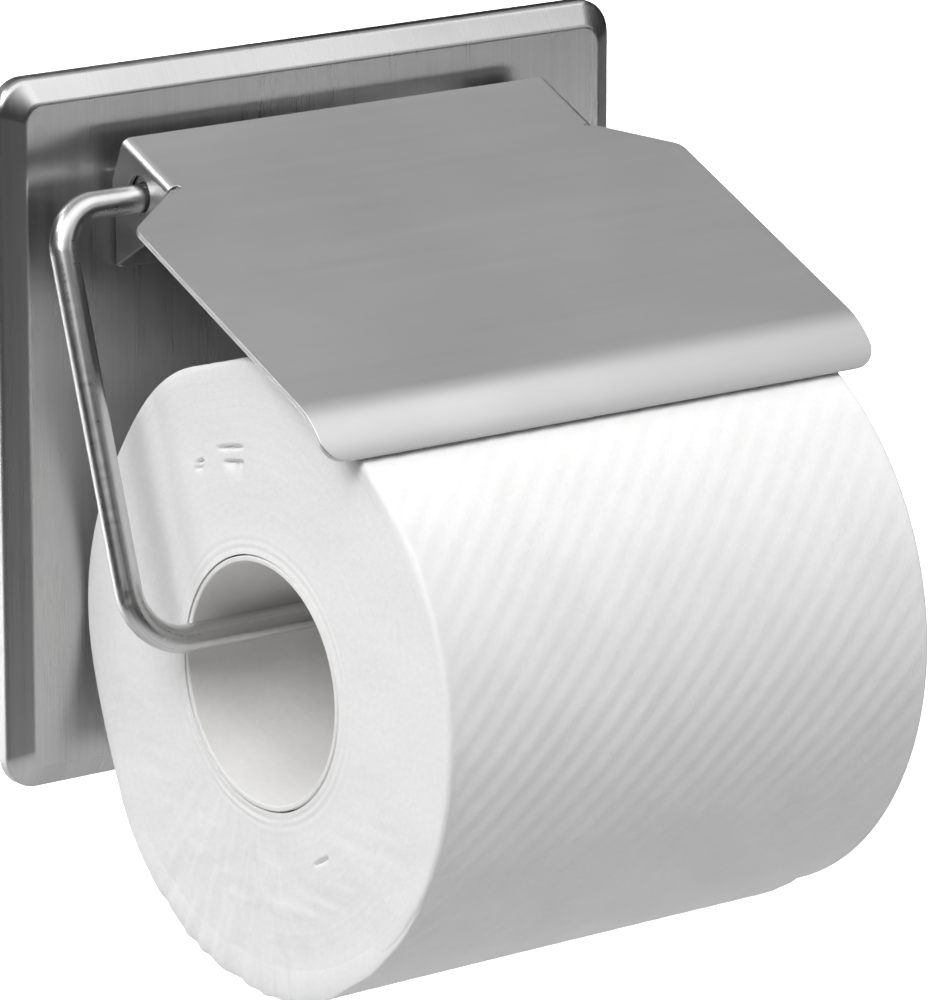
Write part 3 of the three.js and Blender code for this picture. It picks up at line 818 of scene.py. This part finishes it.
def ear_outline():
    """The ear on the blank, from the rear edge round to the front of its fold."""
    tip_out, tip_z = cover_side(NECK_LENGTH, -EAR_BEND)
    reach = math.hypot(tip_out - HINGE_OUT, tip_z - HINGE_Z)
    front = math.atan2(tip_z - HINGE_Z, tip_out - HINGE_OUT) - math.acos(min(1.0, EAR_RADIUS / reach))
    rear = [(HINGE_OUT - back, HINGE_Z + rise) for back, rise in EAR_REAR]
    eye = arc(HINGE_OUT, HINGE_Z, EAR_RADIUS, EAR_LOWEST, front, 30)
    return [on_ear(out, z) for out, z in rear + eye] + [(FLAT_HALF + FOLD_WIDTH, NECK_LENGTH)]


def cover_blank():
    """The sheet unfolded. The right half runs from the rear edge round the ear, the shoulder and the lip."""
    half = [(FLAT_HALF, 0.0), *ear_outline(), (RELIEF_X, NECK_LENGTH)]
    half += arc(RELIEF_X, NECK_LENGTH + RELIEF / 2, RELIEF / 2, -QUARTER, -3 * QUARTER, 6)[1:]
    half.append((NECK_HALF, NECK_LENGTH + RELIEF))
    shoulder = math.atan2(SHOULDER_END - NECK_LENGTH - RELIEF, COVER_HALF - NECK_HALF)
    corner_s = SHOULDER_END + SHOULDER_CORNER * math.tan((QUARTER - shoulder) / 2)
    half += arc(COVER_HALF - SHOULDER_CORNER, corner_s, SHOULDER_CORNER, shoulder - QUARTER, 0, 10)
    lip_corner_s = COVER_FLAT + LIP_LENGTH - LIP_CORNER
    half += arc(COVER_HALF - LIP_CORNER, lip_corner_s, LIP_CORNER, 0, QUARTER, 12)
    return mirrored(half)


def make_cover(material):
    past_edge = COVER_HALF + MM
    bends = [COVER_FLAT + LIP_LENGTH * i / LIP_STEPS for i in range(LIP_STEPS)]
    rules = [((-past_edge, s), (past_edge, s)) for s in bends]
    rules += fold_rules(FLAT_HALF, FOLD_WIDTH, -MM, NECK_LENGTH)
    across, along = on_ear(HINGE_OUT, HINGE_Z + EAR_HOLE_RISE)
    holes = [circle(side * across, along, EAR_HOLE, 44) for side in (-1, 1)]
    mesh = bent_sheet("cover_sheet", cover_blank(), holes, rules, bend_cover, SHEET, COVER_EASE)
    shade(mesh, 40)
    piece = new_piece("cover_sheet", mesh, [material], "cover", "cover_steel", "cover")
    weigh_normals(piece)


# ---------------------------------------------------------------- bail

BAIL_LOW, BAIL_HIGH = node_box("roll_bail")
WIRE_RADIUS = 2.5 * MM
WIRE_EASE = 0.5 * MM
WIRE_SEGMENTS = 48
AXLE_RIGHT = 51.0 * MM
UPPER_BEND = 8.0 * MM
LOWER_BEND = 10.0 * MM
BAR_Y = BAIL_LOW.y + WIRE_RADIUS
BAR_Z = BAIL_LOW.z + WIRE_RADIUS
ARM_TOP = Vector((-65.1 * MM, -HINGE_OUT, HINGE_Z))
ARM_BOTTOM = Vector((BAIL_LOW.x + WIRE_RADIUS, BAR_Y, BAR_Z))
NICK_HEIGHT = 0.12  # share of the arm's length
NICK_SIZE = 0.9 * MM
NICK_DEPTH = 0.25 * MM
NICK_PLACE = ARM_BOTTOM.lerp(ARM_TOP, NICK_HEIGHT) + Vector((-WIRE_RADIUS * 0.8, -WIRE_RADIUS * 0.6, 0))


def round_corner(corner, before, after, radius, steps):
    """Points and directions of a bend that turns from one direction to another."""
    turn = before.angle(after)
    start = corner - before * (radius * math.tan(turn / 2))
    inward = (after - before * after.dot(before)).normalized()
    centre = start + inward * radius
    stations = []
    for i in range(steps + 1):
        angle = turn * i / steps
        point = centre - inward * (radius * math.cos(angle)) + before * (radius * math.sin(angle))
        stations.append((point, before * math.cos(angle) + inward * math.sin(angle)))
    return stations


def straight(start, end, steps):
    direction = (end - start).normalized()
    return [(start.lerp(end, i / steps), direction) for i in range(1, steps)]


def wire_stations():
    """Point, direction and radius along the wire, from the axle's end to the bar's, both ends eased."""
    left = Vector((-1, 0, 0))
    right = Vector((1, 0, 0))
    down = (ARM_BOTTOM - ARM_TOP).normalized()
    axle = Vector((AXLE_RIGHT, -HINGE_OUT, HINGE_Z))
    bar = Vector((BAIL_HIGH.x, BAR_Y, BAR_Z))
    top_bend = round_corner(ARM_TOP, left, down, UPPER_BEND, 26)
    low_bend = round_corner(ARM_BOTTOM, down, right, LOWER_BEND, 30)
    path = straight(axle, top_bend[0][0], 12) + top_bend
    path += straight(top_bend[-1][0], low_bend[0][0], 60) + low_bend
    path += straight(low_bend[-1][0], bar, 16)
    easing = [
        (WIRE_EASE * (1 - math.cos(t)), WIRE_RADIUS - WIRE_EASE * (1 - math.sin(t)))
        for t in (0.0, 0.5, 1.0, QUARTER)
    ]
    first = [(axle + left * back, left, radius) for back, radius in easing]
    last = [(bar - right * back, right, radius) for back, radius in reversed(easing)]
    return first + [(point, ahead, WIRE_RADIUS) for point, ahead in path] + last


def wire_ring(point, ahead, radius):
    """One ring of the wire, dented where it passes the nick."""
    side = (Vector((0, 1, 0)) - ahead * ahead.y).normalized()
    other = ahead.cross(side)
    ring = []
    for i in range(WIRE_SEGMENTS):
        angle = FULL * i / WIRE_SEGMENTS
        away = side * math.cos(angle) + other * math.sin(angle)
        spot = point + away * radius
        near = (spot - NICK_PLACE).length / NICK_SIZE
        ring.append(spot - away * (NICK_DEPTH * math.exp(-near * near)))
    return ring


def make_bail(material):
    stations = wire_stations()
    travelled = [0.0]
    for (before, _, _), (after, _, _) in zip(stations, stations[1:]):
        travelled.append(travelled[-1] + (after - before).length)
    built = bmesh.new()
    uv = built.loops.layers.uv.new("along")
    rings = [[built.verts.new(spot) for spot in wire_ring(*station)] for station in stations]
    for number, (first, second) in enumerate(zip(rings, rings[1:])):
        for i in range(WIRE_SEGMENTS):
            j = (i + 1) % WIRE_SEGMENTS
            face = built.faces.new((first[i], first[j], second[j], second[i]))
            places = ((i, number), (i + 1, number), (i + 1, number + 1), (i, number + 1))
            for loop, (turn, station) in zip(face.loops, places):
                loop[uv].uv = (turn / WIRE_SEGMENTS, travelled[station])
    built.faces.new(rings[0])
    built.faces.new(rings[-1][::-1])
    mesh = finish_mesh(built, "bail_wire")
    shade(mesh, 40)
    new_piece("bail_wire", mesh, [material], "bail", "wire_steel", "roll_bail")


# ---------------------------------------------------------------- paper roll

ROLL_LOW, ROLL_HIGH = node_box("paper_roll")
ROLL_RADIUS = (ROLL_HIGH.z - ROLL_LOW.z) / 2
ROLL_HALF = ROLL_HIGH.x
ROLL_EDGE = 1.1 * MM
ROLL_STEPS = 504
ROLL_LENGTH_STEPS = 120
CORE_LOW, CORE_HIGH = node_box("roll_core")
CORE_OUTER = (CORE_HIGH.z - CORE_LOW.z) / 2
CORE_WALL = 1.0 * MM
ROLL_BORE = CORE_OUTER + 0.3 * MM
# Turn, width and depth.
SWELLING = (1.8, 0.56, 3.0 * MM)
FLATS = ((1.85, 0.13, 0.8 * MM), (-2.8, 0.33, 1.9 * MM))
SLACK_WAVE = 0.12 * MM
# Rows round the roll, their pitch along it, and the turn where they are deepest.
EMBOSS_ROUND = 60
EMBOSS_PITCH = 5.67 * MM
EMBOSS_DEPTH = 0.29 * MM
EMBOSS_FADE = 3 * MM
EMBOSS_LEAST = 0.4
CLEAREST_TURN = -0.42
CLEAREST_WIDTH = 0.52
# The near end: slits (out, up and length in millimetres), rings (radius, width and strength) and creases.
SLITS = ((-9.1, 40.5, 8.5), (-8.0, 38.1, 6.4), (-18.2, 36.2, 2.6), (-18.5, 35.1, 2.2), (17.3, -28.1, 5.0))
SLIT_WIDTH = 0.3 * MM
SLIT_DEPTH = 1.1 * MM
RINGS = ((24.0 * MM, 0.3 * MM, 1.0), (25.4 * MM, 0.35 * MM, 0.7))
RING_DEPTH = 0.224 * MM
PLEAT_DEPTH = 0.8 * MM
# Both ends: slow and quick waves, how far the end is dished, and what is left of that at its rim.
END_SWELL = 0.25 * MM
END_WAVE = 0.12 * MM
END_DISH = 0.35 * MM
RIM_SHARE = 0.4
RIM_DISH = END_DISH * RIM_SHARE
# Rings of an end, and the finer ones of the near end: first radius in millimetres and how many.
END_LEVELS = 16
FINE_STEP = 0.3
FINE_BANDS = ((37.6, 16), (32.2, 6), (23.3, 10))
RIM_STEPS = 4
RIM_UV_STEP = 0.3 * MM


def wander(x, y, z, scale):
    return noise.noise(Vector((x, y, z)) * scale)


def turn_from(turn, middle):
    """Shortest way round from one turn to another."""
    return (turn - middle + math.pi) % FULL - math.pi


def on_roll(x, radius, turn):
    """A place in the model from its distance across, its distance from the roll's axis and its turn."""
    return x, ROLL_AXIS.y - radius * math.cos(turn), ROLL_AXIS.z + radius * math.sin(turn)


def roll_ring(built, shape):
    """A ring round the roll. shape(turn) gives its distance across and its radius."""
    turns = [FULL * i / ROLL_STEPS for i in range(ROLL_STEPS)]
    return [built.verts.new(on_roll(*shape(turn), turn)) for turn in turns]


def emboss(turn, x):
    """Height of the pressed pattern, from -1 to 0: slanting rows of dots."""
    strength = EMBOSS_LEAST + 0.6 * math.exp(-((turn_from(turn, CLEAREST_TURN) / CLEAREST_WIDTH) ** 2))
    round_wave = EMBOSS_ROUND * turn
    along_wave = FULL * x / EMBOSS_PITCH
    rows = math.cos(round_wave - along_wave)
    dots = math.cos(round_wave + along_wave)
    return strength * (0.5 * (0.62 * rows + 0.38 * dots * (0.4 + 0.6 * rows)) - 0.5)


def slit_depth(out, z):
    """Share of the slits' depth at one place of the near end."""
    total = 0.0
    for cut_out, cut_z, length in SLITS:
        away = Vector((out - cut_out * MM, z - cut_z * MM))
        radial = Vector((cut_out, cut_z)).normalized()
        along = abs(away.dot(Vector((-radial.y, radial.x)))) / (length * MM / 2)
        across = abs(away.dot(radial)) / SLIT_WIDTH
        total += math.exp(-across * across) * max(0.0, 1 - along ** 3)
    return total


def roll_radius_at(turn):
    """The roll is a little out of round: swollen on top and flattened where it has been handled."""
    middle, width, height = SWELLING
    swell = height * math.exp(-(turn_from(turn, middle) / width) ** 4)
    flats = sum(depth * math.exp(-(turn_from(turn, at) / wide) ** 2) for at, wide, depth in FLATS)
    return ROLL_RADIUS + swell - flats


def ring_groove(radius, turn):
    """Faint rings pressed into the near end round the core, deeper and shallower on the way round."""
    rings = sum(strength * math.exp(-((radius - at) / width) ** 2) for at, width, strength in RINGS)
    return RING_DEPTH * rings * (0.7 + 0.6 * wander(math.cos(turn), math.sin(turn), 0.0, 2.2))


def pleat(turn, level):
    """Radial creases, deepest at the bottom of the near end."""
    low = max(0.0, -math.sin(turn + 0.12))
    return PLEAT_DEPTH * low ** 8 * level * wander(22 * (turn % FULL), 3 * level, 0.5, 1)


def end_face(turn, level, sign):
    """One place on an end of the roll, level 0 at the bore and 1 at the rim: distance across and radius."""
    radius = ROLL_BORE + (roll_radius_at(turn) - ROLL_EDGE - ROLL_BORE) * level
    out, up = radius * math.cos(turn), radius * math.sin(turn)
    swell = END_SWELL * wander(out, up, sign, 90)
    wave = END_WAVE * wander(out * 0.3, up, sign, 420)
    dish = swell + wave * (0.4 + max(0.0, -math.sin(turn))) + END_DISH
    x = sign * (ROLL_HALF - dish * min(1.0, 6 * level) * min(1.0, 6 * (1 - level) + RIM_SHARE))
    if sign < 0:
        x += SLIT_DEPTH * slit_depth(out, up) + ring_groove(radius, turn) + pleat(turn, level)
    return x, radius


def rim_face(turn, bend, sign):
    """One place on the rounded edge between an end and the side."""
    radius = roll_radius_at(turn) - ROLL_EDGE + ROLL_EDGE * math.sin(bend)
    x = sign * (ROLL_HALF - RIM_DISH - (ROLL_EDGE - RIM_DISH) * (1 - math.cos(bend)))
    if sign < 0:
        x += pleat(turn, 1.0) * math.cos(bend)
    return x, radius


def side_face(turn, x):
    """One place on the embossed side."""
    fade = min(1.0, (ROLL_HALF - abs(x)) / EMBOSS_FADE)
    slack = SLACK_WAVE * wander(x, math.cos(turn) * 0.05, math.sin(turn) * 0.05, 60)
    return x, roll_radius_at(turn) + EMBOSS_DEPTH * fade * emboss(turn, x) - abs(slack)


def end_levels(sign):
    levels = [k / END_LEVELS for k in range(END_LEVELS + 1)]
    if sign < 0:
        span = ROLL_RADIUS - ROLL_EDGE - ROLL_BORE
        fine = [start + FINE_STEP * k for start, count in FINE_BANDS for k in range(count)]
        levels = sorted(levels + [(radius * MM - ROLL_BORE) / span for radius in fine])
    return levels


def end_rings(built, sign):
    """Rings of one end from the bore to the side, each with its distance along the surface."""
    made = []
    for level in end_levels(sign):
        ring = roll_ring(built, lambda turn: end_face(turn, level, sign))
        made.append((ring, ROLL_BORE + (ROLL_RADIUS - ROLL_BORE) * level))
    for k in range(1, RIM_STEPS):
        ring = roll_ring(built, lambda turn: rim_face(turn, QUARTER * k / RIM_STEPS, sign))
        made.append((ring, ROLL_RADIUS + RIM_UV_STEP * k))
    return made


def add_rings(built, rings):
    """Bands of faces between rings, the last joined to the first, with UVs along and round."""
    uv = built.loops.layers.uv.verify()
    for (first, first_v), (second, second_v) in zip(rings, rings[1:] + rings[:1]):
        count = len(first)
        for i in range(count):
            j = (i + 1) % count
            face = built.faces.new((first[i], first[j], second[j], second[i]))
            places = ((first_v, i), (first_v, i + 1), (second_v, i + 1), (second_v, i))
            for loop, (along, step) in zip(face.loops, places):
                loop[uv].uv = (along, step / count)


def make_paper_roll(side_material, end_material):
    built = bmesh.new()
    near = end_rings(built, -1)
    far = end_rings(built, 1)
    side = []
    for k in range(ROLL_LENGTH_STEPS + 1):
        x = -ROLL_HALF + ROLL_EDGE + (2 * ROLL_HALF - 2 * ROLL_EDGE) * k / ROLL_LENGTH_STEPS
        side.append((roll_ring(built, lambda turn: side_face(turn, x)), x))
    add_rings(built, near + side + far[::-1])
    mesh = finish_mesh(built, "paper_wound")
    for face in mesh.polygons:
        face.material_index = 1 if abs(face.normal.x) > 0.8 else 0
    shade(mesh, 60)
    new_piece("paper_wound", mesh, [side_material, end_material], "roll", "tissue", "paper_roll")


# ---------------------------------------------------------------- slack turns

SLACK_FIRST = -227  # steps round the roll from the front
SLACK_LAST = -34
SLACK_LENGTH_STEPS = 96
SLACK_UNDER_STEPS = 12
SLACK_FAR_X = ROLL_HALF - 9 * MM
SLACK_SAG = 2.3
SLACK_TAPER = 0.5
SLACK_RIPPLE = 0.7 * MM
SLACK_SUNK = 0.5 * MM
SLACK_EDGE = 0.35 * MM
SLACK_CORNER = 0.1 * MM
SLACK_THINNEST = 0.1 * MM
SLACK_OVERLAP = 0.02 * MM
SLACK_UNDER_FROM = 1.2 * MM
SLACK_BEHIND_FACE = 0.8 * MM
# Levels of the near end that the slack turns follow, and how far behind it they lie there, in millimetres.
SLACK_FACE = ((13 / 16, 0.7), (14 / 16, 0.22), (15 / 16, -0.06), (1.0, -0.12))
DEEPEST = SLACK_FACE[0][1]


def slack_section(turn, share_round):
    """One cross-section of the slack turns: near face, outer side, then back along the roll's surface."""
    hang = math.sin(math.pi * share_round)
    rim = roll_radius_at(turn)
    sunk = SLACK_SUNK * (1 - hang) ** 8
    ripple = SLACK_RIPPLE * wander(7 * turn, 0.0, 0.7, 1) * hang

    def sag(share):
        return hang * hang * (SLACK_SAG - SLACK_TAPER * share) * MM + ripple * (1 - share) ** 2 - sunk

    section = []
    forward = min(1.0, 1.6 * hang)
    for level, sink in SLACK_FACE:
        x, radius = end_face(turn, level, -1)
        section.append((x + (sink * forward + DEEPEST * (1 - forward)) * MM, radius))
    inner = section[0][1]
    near_x, rim_radius = section[-1]
    top = rim + sag(0.0)
    section.append((near_x, (rim_radius + top - SLACK_EDGE) / 2))
    section.append((near_x, top - SLACK_EDGE))
    section.append((near_x + SLACK_CORNER, top - SLACK_CORNER))
    for k in range(SLACK_LENGTH_STEPS + 1):
        share = k / SLACK_LENGTH_STEPS
        x = near_x + SLACK_EDGE + (SLACK_FAR_X - near_x - SLACK_EDGE) * share
        press = EMBOSS_DEPTH * min(1.0, share * 40) * emboss(turn, x)
        section.append((x, rim + sag(share) + press))
    under = min(rim + SLACK_OVERLAP, rim + sag(1.0) - EMBOSS_DEPTH - SLACK_THINNEST)
    start_x = SLACK_UNDER_FROM - ROLL_HALF
    for k in range(SLACK_UNDER_STEPS, -1, -1):
        section.append((start_x + (SLACK_FAR_X - start_x) * k / SLACK_UNDER_STEPS, under))
    section.append((SLACK_BEHIND_FACE - ROLL_HALF, inner))
    return section


def make_loose_turns(side_material, end_material):
    """The last turns hang slack under the roll. Both ends of the sag run into the roll's surface."""
    built = bmesh.new()
    rings = []
    for step in range(SLACK_FIRST, SLACK_LAST + 1):
        turn = FULL * step / ROLL_STEPS
        section = slack_section(turn, (step - SLACK_FIRST) / (SLACK_LAST - SLACK_FIRST))
        rings.append([built.verts.new(on_roll(x, radius, turn)) for x, radius in section])
    for first, second in zip(rings, rings[1:]):
        join_rings(built, first, second)
    built.faces.new(rings[0][::-1])
    built.faces.new(rings[-1])
    mesh = finish_mesh(built, "paper_loose_turns")
    for face in mesh.polygons:
        face.material_index = 1 if face.normal.x < -0.7 else 0
    shade(mesh, 60)
    new_piece("paper_loose_turns", mesh, [side_material, end_material], "bail", "tissue")


# ---------------------------------------------------------------- core

CORE_STEPS = 96
CORE_LENGTH_STEPS = 60
CORE_EASE = 0.2 * MM
SEAM_LEAD = 92 * MM
SEAM_HEIGHT = 0.15 * MM
SEAM_SHARPNESS = 60


def core_ring(built, x, radius, seam_height=0.0):
    """A ring of the tube. The spiral seam of the inner ply stands a little proud."""
    ring = []
    for i in range(CORE_STEPS):
        turn = FULL * i / CORE_STEPS
        phase = (turn / FULL + x / SEAM_LEAD) % 1.0
        seam = math.exp(-((phase - 0.5) * SEAM_SHARPNESS) ** 2)
        ring.append(built.verts.new(on_roll(x, radius + seam_height * seam, turn)))
    return ring


def make_core(material):
    built = bmesh.new()
    inner = CORE_OUTER - CORE_WALL
    half = CORE_HIGH.x
    straight_half = half - CORE_EASE
    rings = []
    for k in range(CORE_LENGTH_STEPS + 1):
        x = -half + CORE_EASE + (2 * half - 2 * CORE_EASE) * k / CORE_LENGTH_STEPS
        rings.append((core_ring(built, x, inner, SEAM_HEIGHT), k))
    outside = (
        (half, inner + CORE_EASE), (half, CORE_OUTER - CORE_EASE), (straight_half, CORE_OUTER),
        (-straight_half, CORE_OUTER), (-half, CORE_OUTER - CORE_EASE), (-half, inner + CORE_EASE),
    )
    rings += [(core_ring(built, x, radius), 0) for x, radius in outside]
    add_rings(built, rings)
    mesh = finish_mesh(built, "core_tube")
    shade(mesh, 40)
    new_piece("core_tube", mesh, [material], "roll", "core_board", "roll_core")


# ---------------------------------------------------------------- put it together

make_camera()
make_studio()
GRAIN_DEPTH = 0.004 * MM
SATIN_DEPTH = 0.008 * MM
PLAIN_DEPTH = 0.02 * MM
PLATE_WAVES = 0.25 * MM
plate_steel = brushed_steel(
    "steel_upright_brushed", (2600, 40, 11), (0.5, 0.59), (0.25, 0.35), GRAIN_DEPTH, PLATE_WAVES, 0.6,
)
cover_steel = brushed_steel("steel_satin", (180, 5200, 5200), (0.57, 0.605), (0.36, 0.42), SATIN_DEPTH)
bracket_steel = brushed_steel("steel_bracket", (2200, 70, 2200), (0.5, 0.62), (0.25, 0.38), PLAIN_DEPTH)
screw_steel = brushed_steel("steel_plain", (900, 900, 900), (0.52, 0.64), (0.25, 0.36), PLAIN_DEPTH)
wire = wire_steel()
paper = tissue()
paper_end = wound_edge()
core_board = board("core_board_pale", (0.82, 0.815, 0.8), (0.9, 0.895, 0.885))
pad_board = board("pad_board_grey", (0.42, 0.41, 0.39), (0.55, 0.54, 0.52))

make_back_plate(plate_steel)
make_bracket(bracket_steel)
for screw_name in SCREWS:
    make_screw(screw_name, screw_steel)
make_axle_cap(screw_steel)
make_cover(cover_steel)
make_bail(wire)
make_paper_roll(paper, paper_end)
make_core(core_board)
make_loose_turns(paper, paper_end)

pad = frame["nodes"]["wall_pad"]
pad.data.materials.clear()
pad.data.materials.append(pad_board)

bpy.context.scene.view_settings.view_transform = "Standard"

bpy.context.view_layer.update()
